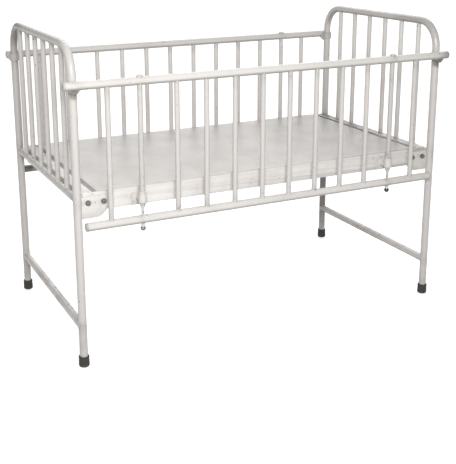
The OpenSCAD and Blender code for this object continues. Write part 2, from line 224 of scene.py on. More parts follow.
def enamel(name, brush=(40, 40, 3), knocks=(), gloss=0.30, white=white_enamel, chip_level=0.71,
           shade_and_grease_spots=(), underside_shade=0.0):
    """White enamel on steel: brush says how the brush marks run, knocks lists the places (axis, position,
    reach) where it is dirty and chipped, the list of spots (point, reach, strength) darkens spots with
    painted shade, some of them also greasy, and the last number says how much painted shade darkens the
    faces that look down."""
    paint, tree, shader, place = finish_started(name)
    axes = put(tree, "ShaderNodeSeparateXYZ", {"Vector": place}).outputs

    patches = mottle(tree, place, 3.1)
    fine = mottle(tree, place, 46.0, 6.0, 0.6)
    along = put(tree, "ShaderNodeMapping", {"Vector": place, "Scale": brush}).outputs["Vector"]
    brushed = mottle(tree, along, 9.0, 5.0, 0.6)
    peel = mottle(tree, place, 420.0, 2.0)
    near_knocks = put(tree, "ShaderNodeValue").outputs["Value"]
    near_knocks.default_value = 0.0
    for axis, position, reach in knocks:
        away = joined(tree, "ABSOLUTE", joined(tree, "SUBTRACT", axes["XYZ".index(axis)], position), 0.0)
        near_knocks = joined(tree, "MAXIMUM", near_knocks, stepped(tree, away, 0.0, reach, 1.0, 0.0))

    dirt = joined(tree, "MULTIPLY", near_knocks, stepped(tree, mottle(tree, place, 24.0), 0.36, 0.68))
    chip_noise = joined(tree, "ADD", mottle(tree, place, 105.0, 3.0, 0.62),
                        joined(tree, "MULTIPLY", near_knocks, 0.055))
    chips = stepped(tree, chip_noise, chip_level, chip_level + 0.015)

    layers = [(stepped(tree, patches, 0.42, 0.74), yellowed_enamel)]
    for noise, low, share, shade in ((fine, 0.48, 0.35, 0.80), (brushed, 0.50, 0.22, 0.84)):
        layers.append((stepped(tree, noise, low, 0.80, 0.0, share), [shade * c for c in white]))
    layers.append((joined(tree, "MULTIPLY", dirt, 0.4), joint_dirt_and_underside_shade))
    # Faces that look down are darkened with painted shade, in the colour of the dirt at the joints.
    if underside_shade:
        facing = put(tree, "ShaderNodeNewGeometry").outputs["Normal"]
        facing_z = put(tree, "ShaderNodeSeparateXYZ", {"Vector": facing}).outputs["Z"]
        layers.append((stepped(tree, facing_z, -0.10, -0.55, 0.0, underside_shade), joint_dirt_and_underside_shade))
    # Dark spots of painted shade, some of them also greasy.
    for spot, reach, strength in shade_and_grease_spots:
        away = put(tree, "ShaderNodeVectorMath", {0: place, 1: spot}, operation="DISTANCE").outputs["Value"]
        ragged = joined(tree, "ADD", away, joined(tree, "MULTIPLY", mottle(tree, place, 90.0), reach * 0.4))
        layers.append((stepped(tree, ragged, reach * 0.6, reach * 1.2, strength, 0.0), shade_and_grease_dark))
    layers.append((chips, bared_steel))

    rough = joined(tree, "ADD", stepped(tree, fine, 0.3, 0.8, gloss - 0.06, gloss + 0.14),
                   joined(tree, "MULTIPLY", joined(tree, "MAXIMUM", dirt, chips), 0.3))
    height = joined(tree, "ADD", joined(tree, "MULTIPLY", brushed, 0.55),
                    joined(tree, "MULTIPLY", peel, 0.16))
    height = joined(tree, "SUBTRACT", height, joined(tree, "MULTIPLY", chips, 0.5))
    finish_joined(tree, shader, layered(tree, white, layers), rough, 0.45, 0.0006, height)
    return paint


def new_tree(name, sizes):
    """A Geometry Nodes tree with its named inputs: returns the tree, its inputs and its end."""
    tree = bpy.data.node_groups.new(name, "GeometryNodeTree")
    tree.interface.new_socket("Geometry", in_out="INPUT", socket_type="NodeSocketGeometry")
    for label, kind, value in sizes:
        socket = tree.interface.new_socket(label, in_out="INPUT", socket_type="NodeSocket" + kind)
        if value is not None:
            socket.default_value = value
    tree.interface.new_socket("Geometry", in_out="OUTPUT", socket_type="NodeSocketGeometry")
    return tree, tree.nodes.new("NodeGroupInput").outputs, tree.nodes.new("NodeGroupOutput").inputs[0]


def uneven(tree, shape, amount, scale, seed):
    """Moves a shape's points a little, by an amount that drifts along it."""
    where = put(tree, "ShaderNodeVectorMath", {
        0: put(tree, "GeometryNodeInputPosition").outputs["Position"],
        1: put(tree, "ShaderNodeCombineXYZ", {"X": seed, "Y": seed, "Z": seed}).outputs["Vector"],
    }, operation="ADD").outputs["Vector"]
    drift = put(tree, "ShaderNodeTexNoise", {"Vector": where, "Scale": scale, "Detail": 1.0})
    centred = put(tree, "ShaderNodeVectorMath", {0: drift.outputs["Color"], 1: (0.5, 0.5, 0.5)},
                  operation="SUBTRACT").outputs["Vector"]
    shift = put(tree, "ShaderNodeVectorMath", {0: centred, "Scale": amount},
                operation="SCALE").outputs["Vector"]
    return put(tree, "GeometryNodeSetPosition", {"Geometry": shape, "Offset": shift}).outputs["Geometry"]


def ended(tree, shape, material, end):
    """Every tree ends the same way: plain mesh, smooth, with its material."""
    smooth = put(tree, "GeometryNodeSetShadeSmooth", {"Geometry": shape}).outputs["Geometry"]
    plain = put(tree, "GeometryNodeRealizeInstances", {"Geometry": smooth}).outputs["Geometry"]
    dressed = put(tree, "GeometryNodeSetMaterial", {"Geometry": plain, "Material": material})
    tree.links.new(dressed.outputs["Geometry"], end)


def bent_tube_tree():
    """A round tube swept along a path of straight runs, its corners bent to one radius."""
    tree, size, end = new_tree("Bent tube", [
        ("Tube radius", "Float", tube_r), ("Bend radius", "Float", 0.0),
        ("Ring spacing", "Float", 0.008), ("Sides", "Int", 40),
        ("Unevenness", "Float", 0.0), ("Seed", "Float", 1.0), ("Paint", "Material", None)])
    run = put(tree, "GeometryNodeMeshToCurve", {"Mesh": size["Geometry"]}).outputs["Curve"]
    bent = put(tree, "GeometryNodeFilletCurve",
               {"Curve": run, "Count": 24, "Radius": size["Bend radius"]}, mode="POLY").outputs["Curve"]
    rings = put(tree, "GeometryNodeResampleCurve",
                {"Curve": bent, "Length": size["Ring spacing"]}, mode="LENGTH").outputs["Curve"]
    section = put(tree, "GeometryNodeCurvePrimitiveCircle",
                  {"Resolution": size["Sides"], "Radius": size["Tube radius"]}).outputs["Curve"]
    tube = put(tree, "GeometryNodeCurveToMesh",
               {"Curve": rings, "Profile Curve": section, "Fill Caps": True}).outputs["Mesh"]
    ended(tree, uneven(tree, tube, size["Unevenness"], 3.0, size["Seed"]), size["Paint"], end)
    return tree


def grown(name, tree, points, edges, values, facings=()):
    """Feeds points and edges to a tree and returns what it makes as a plain mesh object. Each
    point may have the direction in which a pattern piece faces."""
    seed_mesh = bpy.data.meshes.new(name)
    seed_mesh.from_pydata(points, edges, [])
    if facings:
        facing = seed_mesh.attributes.new("facing", "FLOAT_VECTOR", "POINT")
        for mark, direction in zip(facing.data, facings):
            mark.vector = Vector(direction).to_track_quat("Z", "Y").to_euler()
    piece = shown(name, seed_mesh)
    modifier = piece.modifiers.new("shape", "NODES")
    modifier.node_group = tree
    for socket in tree.interface.items_tree:
        if socket.in_out == "INPUT" and socket.name in values:
            modifier[socket.identifier] = values[socket.name]
    return set_hard(piece)


def set_hard(piece):
    """Turns a piece and its modifiers into a plain mesh with crisp edges where it folds."""
    ready = piece.evaluated_get(bpy.context.evaluated_depsgraph_get())
    mesh = bpy.data.meshes.new_from_object(ready)
    piece.modifiers.clear()
    piece.data = mesh
    mesh.name = piece.name
    mesh.shade_smooth()
    mesh.set_sharp_from_angle(angle=math.radians(38))
    return piece


def fixed(piece, body, nodes=(), paint=None):
    """Fixes a finished piece to its body, in place of the solids that it stands for."""
    if paint:
        piece.data.materials.clear()
        piece.data.materials.append(paint)
    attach(piece, body)
    if nodes:
        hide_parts(*nodes)


bent_tube = bent_tube_tree()
# The hoops' faces that look down are darkened as painted shade. The dark spots are painted shade too: under
# the near rail on both near posts, which are also greasy there, on the far right leg under the platform, and
# on the far bend of the left hoop and the top of the right one.
hoop_enamel = enamel("hoop_enamel", white=(0.56, 0.543, 0.53), underside_shade=0.75, knocks=[
    ("Z", 0.045, 0.10), ("Z", 0.133, 0.05), ("Z", 0.537, 0.05), ("Z", 0.862, 0.04)],
    shade_and_grease_spots=[((-post_x, -0.354, 0.857), 0.024, 0.65), ((post_x, -0.354, 0.857), 0.026, 0.8),
            ((post_x, post_y, 0.48), 0.09, 0.85), ((post_x, post_y, 0.28), 0.30, 0.65),
            ((-post_x, 0.29, 0.98), 0.15, 0.42), ((post_x, -0.24, 0.99), 0.16, 0.26)])
ends = (("left", -1), ("right", 1))
for end, sign in ends:
    x = sign * post_x
    hoop = grown(end + "_hoop", bent_tube,
                 [(x, y, z) for y, z in ((-post_y, leg_end_z), (-post_y, hoop_z), (post_y, hoop_z),
                                         (post_y, leg_end_z))],
                 [(0, 1), (1, 2), (2, 3)],
                 {"Bend radius": hoop_bend_r, "Sides": 48, "Paint": hoop_enamel})
    fixed(hoop, "frame", [end + "_end_hoop"])


# Cross tubes and stretchers. A 22 mm tube carries the end bars at the height of the mattress,
# and a 25.4 mm tube ties the legs together low down. Both are notched to the posts and welded.
cross_tube_z, cross_tube_r = 0.537, 0.011
stretcher_z = 0.133
across_enamel = enamel("cross_tube_enamel", brush=(40, 3, 40), knocks=[
    ("Y", -post_y, 0.06), ("Y", post_y, 0.06)])
# The stretchers' faces that look down are darkened as painted shade.
low_enamel = enamel("stretcher_enamel", brush=(40, 3, 40), chip_level=0.70, underside_shade=0.9, knocks=[
    ("Y", -post_y, 0.08), ("Y", post_y, 0.08), ("Y", 0.0, 0.30)])


def straight(name, lines, radius, spacing, paint, **sizes):
    """Straight tubes in one piece, each along a line (from, to)."""
    points = [point for line in lines for point in line]
    return grown(name, bent_tube, points, [(i, i + 1) for i in range(0, len(points), 2)],
                 {"Tube radius": radius, "Ring spacing": spacing, "Paint": paint, **sizes})


for end, sign in ends:
    x = sign * post_x
    for label, z, radius, paint in (("cross_tube", cross_tube_z, cross_tube_r, across_enamel),
                                    ("stretcher", stretcher_z, tube_r, low_enamel)):
        node = "%s_%s" % (end, label)
        tube = straight(node + "_painted", [((x, -post_y, z), (x, post_y, z))], radius, 0.02, paint,
                        Unevenness=0.0004, Seed=9.0 + sign)
        fixed(tube, "frame", [node])


# End bars. Six 16 mm tubes stand in each end, cut to length, let into the cross tube and the
# hoop and welded. None of them is quite straight any more.
bar_r = 0.008
end_bars = 6
end_bar_pitch = 2 * post_y / (end_bars + 1)
end_bar_y = [i * end_bar_pitch - post_y for i in range(1, end_bars + 1)]


def bar_row_tree():
    """One upright bar on each point, slightly bowed."""
    tree, size, end = new_tree("Row of bars", [
        ("Bar radius", "Float", bar_r), ("Bar length", "Float", 0.4), ("Sides", "Int", 28),
        ("Bow", "Float", 0.0012), ("Seed", "Float", 1.0), ("Paint", "Material", None)])
    top = put(tree, "ShaderNodeCombineXYZ", {"Z": size["Bar length"]}).outputs["Vector"]
    line = put(tree, "GeometryNodeCurvePrimitiveLine", {"Start": (0, 0, 0), "End": top}).outputs["Curve"]
    rings = put(tree, "GeometryNodeResampleCurve", {"Curve": line, "Length": 0.018}, mode="LENGTH")
    section = put(tree, "GeometryNodeCurvePrimitiveCircle",
                  {"Resolution": size["Sides"], "Radius": size["Bar radius"]})
    bar = put(tree, "GeometryNodeCurveToMesh", {
        "Curve": rings.outputs["Curve"], "Profile Curve": section.outputs["Curve"], "Fill Caps": True})
    row = put(tree, "GeometryNodeInstanceOnPoints",
              {"Points": size["Geometry"], "Instance": bar.outputs["Mesh"]}).outputs["Instances"]
    plain = put(tree, "GeometryNodeRealizeInstances", {"Geometry": row}).outputs["Geometry"]
    ended(tree, uneven(tree, plain, size["Bow"], 6.0, size["Seed"]), size["Paint"], end)
    return tree


bar_row = bar_row_tree()
end_bar_enamel = enamel("end_bar_enamel", white=(0.63, 0.612, 0.597),
                        knocks=[("Z", 0.556, 0.05), ("Z", 0.975, 0.03)])
for end, sign in ends:
    feet = [(sign * post_x, y, cross_tube_z) for y in end_bar_y]
    bars = grown(end + "_end_bars_painted", bar_row, feet, [],
                 {"Bar length": hoop_z - cross_tube_z, "Seed": 21.0 + sign, "Paint": end_bar_enamel})
    fixed(bars, "frame", [end + "_end_bars"])


# Weld beads of the end frames. Where one tube is notched to another, a small fillet of weld
# runs round the joint, ground here and there and painted over with the rest.
frame_bead_r, side_bead_r = 0.0017, 0.0014


def weld_tree():
    """A rippled bead along each seam."""
    tree, size, end = new_tree("Weld bead", [
        ("Bead radius", "Float", frame_bead_r), ("Ripple", "Float", 0.0009), ("Seed", "Float", 1.0),
        ("Paint", "Material", None)])
    seam = put(tree, "GeometryNodeMeshToCurve", {"Mesh": size["Geometry"]}).outputs["Curve"]
    rings = put(tree, "GeometryNodeResampleCurve", {"Curve": seam, "Length": 0.0016}, mode="LENGTH")
    section = put(tree, "GeometryNodeCurvePrimitiveCircle",
                  {"Resolution": 8, "Radius": size["Bead radius"]}).outputs["Curve"]
    bead = put(tree, "GeometryNodeCurveToMesh", {
        "Curve": rings.outputs["Curve"], "Profile Curve": section, "Fill Caps": True})
    ended(tree, uneven(tree, bead.outputs["Mesh"], size["Ripple"], 320.0, size["Seed"]),
          size["Paint"], end)
    return tree


def ring_seam(centre, tube_axis, bar_axis, tube_radius, bar_radius, steps=40):
    """Points of the joint where a round bar meets the side of a round tube."""
    along, out = Vector(tube_axis), Vector(bar_axis)
    side = out.cross(along)
    points = []
    for a, b, level in circle(bar_radius, 0, steps):
        rise = math.sqrt(max(tube_radius ** 2 - b ** 2, 0))
        points.append(tuple(Vector(centre) + a * along + b * side + rise * out))
    return points


class Seams:
    """Collects the seams of one body's welds."""

    def __init__(self):
        self.points, self.edges = [], []

    def round_joint(self, points):
        first, count = len(self.points), len(points)
        self.points += points
        self.edges += [(first + i, first + (i + 1) % count) for i in range(count)]

    def line(self, start, end):
        self.edges.append((len(self.points), len(self.points) + 1))
        self.points += [start, end]

    def upright(self, x, y, z0, z1):
        self.line((x, y, z0), (x, y, z1))


weld_bead = weld_tree()
weld_enamel = enamel("weld_enamel", brush=(20, 20, 20), chip_level=0.69, knocks=[("Z", 0.5, 1.0)],
                     white=(0.58, 0.562, 0.545))
frame_seams = Seams()
along_y, up, down = (0, 1, 0), (0, 0, 1), (0, 0, -1)
for x in (-post_x, post_x):
    for y in end_bar_y:
        frame_seams.round_joint(ring_seam((x, y, cross_tube_z), along_y, up, cross_tube_r, bar_r))
        frame_seams.round_joint(ring_seam((x, y, hoop_z), along_y, down, tube_r, bar_r))
    for side in (-1, 1):
        for z, radius in ((cross_tube_z, cross_tube_r), (stretcher_z, tube_r)):
            frame_seams.round_joint(ring_seam((x, side * post_y, z), up, (0, -side, 0), tube_r, radius))


# Ferrules. A moulded rubber cup is pushed over the end of each leg. Its foot is thicker, and
# its mouth has a rolled lip and a groove below it. The rubber has gone grey with floor dust.
ferrule_profile = [
    (0.0, 0.0), (0.0100, 0.0), (0.0127, 0.0005), (0.0149, 0.0020), (0.0164, 0.0041), (0.0170, 0.0066),
    (0.0170, 0.0090), (0.0164, 0.0104), (0.0162, 0.0118), (0.0166, 0.0130), (0.0165, 0.0230),
    (0.0157, 0.0244), (0.0154, 0.0256), (0.0157, 0.0268), (0.0164, 0.0280), (0.0166, 0.0305),
    (0.0163, 0.0340), (0.0154, 0.0356), (0.0140, 0.0360), (0.0130, 0.0354), (0.0128, 0.0340),
    (0.0127, 0.0085), (0.0, 0.0085)]


def meshed(name, build):
    """Ends a build and returns its mesh."""
    mesh = bpy.data.meshes.new(name)
    build.to_mesh(mesh)
    build.free()
    return mesh


def skinned(build, levels, closed=False):
    """Joins levels of points with faces. A level of one point is a pole, and a closed skin
    runs from the last level back to the first. Returns the levels' corners."""
    rings = [[build.verts.new(point) for point in level] for level in levels]
    steps = max(len(ring) for ring in rings)
    for low, high in zip(rings, rings[1:] + (rings[:1] if closed else [])):
        for i in range(steps):
            j = (i + 1) % steps
            face = [low[i % len(low)], low[j % len(low)], high[j % len(high)], high[i % len(high)]]
            build.faces.new(list(dict.fromkeys(face)))
    return rings


def lathed(build, profile, steps, closed=False):
    """Turns a profile of (radius, height) round Z."""
    return skinned(build, [circle(r, z, steps if r else 1) for r, z in profile], closed)


def turned(name, profile, centre, steps=56, tilt=0):
    """A solid turned on a lathe, from one pole of its profile to the other, and laid down round
    Y by so many degrees."""
    build = bmesh.new()
    lathed(build, profile, steps)
    bmesh.ops.recalc_face_normals(build, faces=build.faces)
    laid = Matrix.Translation(centre) @ Matrix.Rotation(math.radians(tilt), 4, "Y")
    bmesh.ops.transform(build, verts=build.verts, matrix=laid)
    piece = shown(name, meshed(name, build))
    piece.data.shade_smooth()
    piece.data.set_sharp_from_angle(angle=math.radians(50))
    return piece


def moulded_rubber():
    """Dark rubber, dusty in patches and rubbed lighter round the foot."""
    rubber, tree, shader, place = finish_started("ferrule_rubber")
    height = put(tree, "ShaderNodeSeparateXYZ", {"Vector": place}).outputs["Z"]
    dust = stepped(tree, mottle(tree, place, 55.0, 5.0), 0.42, 0.75, 0.0, 0.55)
    scuffed = joined(tree, "MULTIPLY", stepped(tree, height, 0.0, 0.013, 0.6, 0.0),
                     stepped(tree, mottle(tree, place, 140.0, 4.0), 0.40, 0.62))
    colour = layered(tree, (0.017, 0.016, 0.015), [
        (dust, (0.075, 0.071, 0.064)), (scuffed, (0.15, 0.142, 0.13))])
    finish_joined(tree, shader, colour, stepped(tree, dust, 0.0, 0.5, 0.58, 0.85),
                  0.35, 0.0004, mottle(tree, place, 700.0, 3.0))
    return rubber


rubber = moulded_rubber()
corners = (("near_left", -1, -1), ("near_right", 1, -1), ("far_left", -1, 1), ("far_right", 1, 1))
for corner, sx, sy in corners:
    ferrule = turned("ferrule_" + corner, ferrule_profile, (sx * post_x, sy * post_y, 0))
    fixed(ferrule, "frame", ["foot_" + corner], rubber)


# Corner plates. A 5 mm steel plate is welded to each post and bolted to the frame. The near
# plates hang lower and have their free corner rounded off; all edges are filed soft.
filed_edge = 0.0009
plate_weld_out = (0.0120, 0.0046)
plate_weld_from, plate_weld_to = 0.003, 0.015


def modified(piece, kind, **settings):
    """Gives a piece a modifier with these settings."""
    modifier = piece.modifiers.new(kind.lower(), kind)
    for name, value in settings.items():
        setattr(modifier, name, value)


def copied(name, node, flat_angle=0.0):
    """A copy of a CAD part, with its doubled points and, up to an angle, its flat faces joined."""
    build = bmesh.new()
    build.from_mesh(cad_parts[node].data)
    bmesh.ops.remove_doubles(build, verts=build.verts, dist=0.00002)
    if flat_angle:
        bmesh.ops.dissolve_limit(build, angle_limit=flat_angle, verts=build.verts, edges=build.edges)
    return shown(name, meshed(name, build))


def softened(name, node, width):
    """A copy of a CAD part with its edges rounded."""
    piece = copied(name, node, math.radians(0.6))
    modified(piece, "BEVEL", width=width, segments=2, limit_method="ANGLE", angle_limit=math.radians(32))
    return set_hard(piece)


plate_enamel = enamel("corner_plate_enamel", brush=(6, 30, 30), white=(0.675, 0.656, 0.64),
                      knocks=[("Z", 0.522, 0.012)])
for corner, sx, sy in corners:
    plate = softened("bolted_plate_" + corner, "corner_plate_" + corner, filed_edge)
    fixed(plate, "frame", ["corner_plate_" + corner], plate_enamel)
    low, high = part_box("corner_plate_" + corner)
    weld_x, weld_y = sx * (post_x - plate_weld_out[0]), sy * (post_y - plate_weld_out[1])
    frame_seams.upright(weld_x, weld_y, low[2] + plate_weld_from, high[2] - plate_weld_to)


# Mattress frame. Two long angle irons, two short ones with a flange to stand the sheet's ends
# off, and three light braces between them, all cut from rolled steel with rounded edges.
rolled_edge = 0.0011
brace_x = (-0.300, 0.0, 0.300)
brace_half_w = 0.0118
iron_inner_y, iron_end_x, end_iron_x = 0.326, 0.600, 0.6288
lap_weld_z, lap_weld_l = 0.5515, 0.028
iron_weld_z, brace_weld_z = (0.518, 0.547), (0.524, 0.549)
guide_x = (-0.454, 0.448)
iron_enamel = enamel("angle_iron_enamel", brush=(3, 40, 40), white=(0.71, 0.69, 0.673),
                     knocks=[("X", x, 0.05) for x in (*guide_x, -iron_end_x, iron_end_x)])
across_iron_enamel = enamel("end_iron_enamel", brush=(40, 3, 40), white=(0.60, 0.583, 0.569),
                            knocks=[("Y", -0.33, 0.06), ("Y", 0.33, 0.06)])
# The right end iron is painted nearly black: painted shade of the recess at that end.
dusty_iron_enamel = enamel("dusty_iron_enamel", brush=(40, 3, 40), white=(0.19, 0.182, 0.172),
                           knocks=[("X", iron_end_x, 0.02)])
for node, paint in (("near_frame_angle", iron_enamel), ("far_frame_angle", iron_enamel),
                    ("left_frame_angle", across_iron_enamel), ("right_frame_angle", dusty_iron_enamel),
                    ("frame_braces", across_iron_enamel)):
    iron = softened(node.replace("frame", "rolled"), node, rolled_edge)
    fixed(iron, "frame", [node], paint)
for y in (-iron_inner_y, iron_inner_y):
    for sign in (-1, 1):
        x0, x1 = sign * iron_end_x, sign * (iron_end_x + lap_weld_l)
        frame_seams.line((x0, y, lap_weld_z), (x1, y, lap_weld_z))
        frame_seams.upright(sign * end_iron_x, y, *iron_weld_z)
    for x in brace_x:
        frame_seams.upright(x - brace_half_w, y, *brace_weld_z)
frame_welds = grown("frame_welds", weld_bead, frame_seams.points, frame_seams.edges,
                    {"Ripple": 0.0010, "Seed": 5.0, "Paint": weld_enamel})
fixed(frame_welds, "frame")


# Platform sheet. One 1.5 mm steel sheet, folded down over the side irons and in at the ends,
# and spray painted. Years of mattresses have scratched it, and it dips between the braces.
sheet_x, sheet_y = 0.585, 0.3315
sheet_top = 0.554
sheet_fold_r = 0.0028
sheet_lip = 0.010
end_flap = 0.0215
flap_y = 0.325
sheet_thickness = 0.0015
sheet_dip, sheet_wave = 0.0011, 0.0005


def spread(low, high, cells):
    """Even steps from one number to another, both ends included."""
    return [low + (high - low) * i / cells for i in range(cells + 1)]


def sheet_height(x, y):
    """How far the top has sunk at a place: it dips between the braces and waves a little."""
    bays = (-sheet_x, *brace_x, sheet_x)
    bay = max(i for i in range(len(bays) - 1) if bays[i] <= x)
    span = (x - bays[bay]) / (bays[bay + 1] - bays[bay])
    dip = math.sin(math.pi * span) ** 2 * math.cos(math.pi * y / (2 * sheet_y)) ** 2
    wave = 0.5 + 0.5 * math.sin(9.0 * x + 5.0 * y + 1.3 * bay) * math.cos(7.0 * y - 3.0 * x)
    return -(sheet_dip * dip + sheet_wave * wave * dip)


def sheet_surface():
    """The sheet's outer face: a grid across the top, rolled over into the lips and the flaps."""
    fold = [(sheet_fold_r * (1 - math.sin(turn)), -sheet_fold_r * (1 - math.cos(turn)))
            for turn in spread(0, math.pi / 2, 6)]
    flap_row = spread(-flap_y, flap_y, 44)
    edge = spread(-sheet_y + sheet_fold_r, -flap_y, 4)[1:-1]
    lip = [(-sheet_y, -sheet_lip)] + [(-sheet_y + inset, z) for inset, z in fold[::-1]]
    flat = [(y, 0.0) for y in edge + flap_row + [-y for y in edge[::-1]]]
    row = lip + flat + [(-y, z) for y, z in lip[::-1]]
    build = bmesh.new()
    grid = [[build.verts.new((x, y, sheet_top + z + sheet_height(x, y))) for y, z in row]
            for x in spread(-sheet_x + sheet_fold_r, sheet_x - sheet_fold_r, 110)]
    for line, beside in zip(grid, grid[1:]):
        for j in range(len(row) - 1):
            build.faces.new((line[j], beside[j], beside[j + 1], line[j + 1]))
    first = row.index((flap_row[0], 0.0))
    flap = fold[1:] + [(0.0, z) for z in spread(-sheet_fold_r, -end_flap, 2)[1:]]
    for line, sign in ((grid[0], -1), (grid[-1], 1)):
        last = line[first:first + len(flap_row)]
        for inset, z in flap:
            fresh = [build.verts.new((sign * (sheet_x - inset), y, sheet_top + z)) for y in flap_row]
            for j in range(len(flap_row) - 1):
                build.faces.new((last[j], fresh[j], fresh[j + 1], last[j + 1])[::sign])
            last = fresh
    bmesh.ops.recalc_face_normals(build, faces=build.faces)
    if sum(f.normal.z for f in build.faces) < 0:
        bmesh.ops.reverse_faces(build, faces=build.faces)
    return meshed("platform", build)


def worn_and_shaded_sheet_paint():
    """Satin white paint with long scratches, rubbed patches and faint stains. It is painted darker towards
    the right end, as shade, and its folded lip is painted lighter than the top, as the light on the front
    faces.
    """
    paint, tree, shader, place = finish_started("platform_enamel")
    stains = mottle(tree, place, 4.3, 5.0, 0.6)
    rubbed = mottle(tree, place, 13.0, 6.0, 0.65)
    scratches = None
    for turn, scale in ((0.35, (1.2, 60, 1)), (-0.62, (60, 1.0, 1)), (1.1, (2.0, 80, 1))):
        lay = put(tree, "ShaderNodeMapping", {"Vector": place, "Rotation": (0, 0, turn), "Scale": scale})
        line = stepped(tree, mottle(tree, lay.outputs["Vector"], 6.0, 3.0, 0.7), 0.70, 0.735)
        scratches = line if scratches is None else joined(tree, "MAXIMUM", scratches, line)
    axes = put(tree, "ShaderNodeSeparateXYZ", {"Vector": place}).outputs
    colour = layered(tree, (0.478, 0.462, 0.444), [
        (stepped(tree, stains, 0.40, 0.72), (0.448, 0.43, 0.41)),
        (stepped(tree, rubbed, 0.48, 0.78, 0.0, 0.5), (0.41, 0.396, 0.38)),
        # Darker towards the right end: painted shade of the light falling off.
        (stepped(tree, axes["X"], 0.1, 0.6, 0.0, 0.8), (0.345, 0.33, 0.312)),
        # The folded lip painted lighter than the top: painted light on the front faces.
        (stepped(tree, axes["Z"], sheet_top - 0.0005, sheet_top - 0.0035), (0.66, 0.64, 0.62)),
        (joined(tree, "MULTIPLY", scratches, 0.45), (0.36, 0.345, 0.325))])
    height = joined(tree, "SUBTRACT", joined(tree, "MULTIPLY", mottle(tree, place, 380.0, 2.0), 0.25),
                    joined(tree, "MULTIPLY", scratches, 0.35))
    finish_joined(tree, shader, colour, stepped(tree, rubbed, 0.3, 0.75, 0.36, 0.46), 0.3, 0.0005, height)
    return paint


platform = shown("platform", sheet_surface())
modified(platform, "SOLIDIFY", thickness=sheet_thickness, offset=-1)
set_hard(platform)
fixed(platform, "frame", ["platform_sheet"], worn_and_shaded_sheet_paint())


# Bolts, washers and nuts. Two M8 bolts hold each corner plate to the side iron, with a plain
# washer under the head and another under the nut. They are unpainted and have gone dark.
bolt_z, bolt_head_face_y = 0.522, 0.335
left_bolts, right_bolts = (0.035, 0.084), (0.030, 0.073)
hex_across, head_h, nut_h = 0.013, 0.0053, 0.0068
washer_r, washer_t, bolt_r = 0.0085, 0.0016, 0.004
washer_edge, bolt_tip, thread_past_nut = 0.0003, 0.0008, 0.0016
plate_and_iron = 0.009
nut_face_z = -plate_and_iron - washer_t


def capped(build, rings):
    """Closes both ends of a skin."""
    build.faces.new(rings[0][::-1])
    build.faces.new(rings[-1])


def hexagon(build, across, z0, z1, bore=0.0):
    """A hexagon from z0 up to z1 with its corners turned off on a lathe: a bolt's head on its
    upper side only, and a nut, which has a bore, on both."""
    face_r = across / 2 * 0.96
    levels = [[], [], [], []]
    for c, s, level in circle(1, 0, 48):
        off = (math.atan2(s, c) + math.pi / 6) % (math.pi / 3) - math.pi / 6
        r = across / 2 / math.cos(off)
        cut = max(r - face_r, 0.0) * math.tan(math.radians(30))
        low_z = z0 + cut if bore else z0
        for points, radius, z in zip(levels, (face_r, r, r, face_r), (z0, low_z, z1 - cut, z1)):
            points.append((c * radius, s * radius, z))
    if bore:
        skinned(build, [circle(bore, z0, 48)] + levels + [circle(bore, z1, 48)], closed=True)
    else:
        capped(build, skinned(build, levels))


def pattern_piece(name, draw):
    """A hidden piece that a tree sets out on its points."""
    build = bmesh.new()
    draw(build)
    bmesh.ops.recalc_face_normals(build, faces=build.faces)
    return bpy.data.objects.new(name, meshed(name, build))


def draw_bolt(build):
    hexagon(build, hex_across, washer_t, washer_t + head_h)
    tip_z = nut_face_z - nut_h - thread_past_nut
    shank = [(bolt_r - bolt_tip, tip_z), (bolt_r, tip_z + bolt_tip), (bolt_r, washer_t)]
    capped(build, lathed(build, shank, 24))


def draw_washers(build):
    for z in (0.0, nut_face_z):
        lathed(build, [(bolt_r, z), (washer_r - washer_edge, z), (washer_r, z + washer_edge),
                       (washer_r, z + washer_t - washer_edge), (washer_r - washer_edge, z + washer_t),
                       (bolt_r, z + washer_t)], 40, closed=True)


def draw_nut(build):
    hexagon(build, hex_across, nut_face_z - nut_h, nut_face_z, bore=bolt_r)


def hardware_tree():
    """Sets a pattern piece on each point, facing the way the point says, at a chance turn."""
    tree, size, end = new_tree("Hardware on points", [
        ("Pattern", "Object", None), ("Largest turn", "Float", 1.0), ("Seed", "Int", 1),
        ("Finish", "Material", None)])
    pattern = put(tree, "GeometryNodeObjectInfo", {"Object": size["Pattern"]}).outputs["Geometry"]
    facing = put(tree, "GeometryNodeInputNamedAttribute", {"Name": "facing"}, data_type="FLOAT_VECTOR")
    aimed = put(tree, "FunctionNodeEulerToRotation", {"Euler": facing.outputs["Attribute"]})
    placed = put(tree, "GeometryNodeInstanceOnPoints", {
        "Points": size["Geometry"], "Instance": pattern, "Rotation": aimed.outputs["Rotation"]})
    chance = put(tree, "FunctionNodeRandomValue", {"Seed": size["Seed"]}, data_type="FLOAT")
    turn = joined(tree, "MULTIPLY", chance.outputs[1], size["Largest turn"])
    about = put(tree, "FunctionNodeEulerToRotation", {
        "Euler": put(tree, "ShaderNodeCombineXYZ", {"Z": turn}).outputs["Vector"]})
    turned_round = put(tree, "GeometryNodeRotateInstances", {
        "Instances": placed.outputs["Instances"], "Rotation": about.outputs["Rotation"],
        "Local Space": True})
    ended(tree, turned_round.outputs["Instances"], size["Finish"], end)
    return tree


def set_out(name, draw, places, finish, seed):
    """Puts a pattern piece on (point, direction of its +Z) places."""
    return grown(name, hardware, [point for point, facing in places], [],
                 {"Pattern": pattern_piece(name + "_pattern", draw), "Seed": seed, "Finish": finish},
                 [facing for point, facing in places])


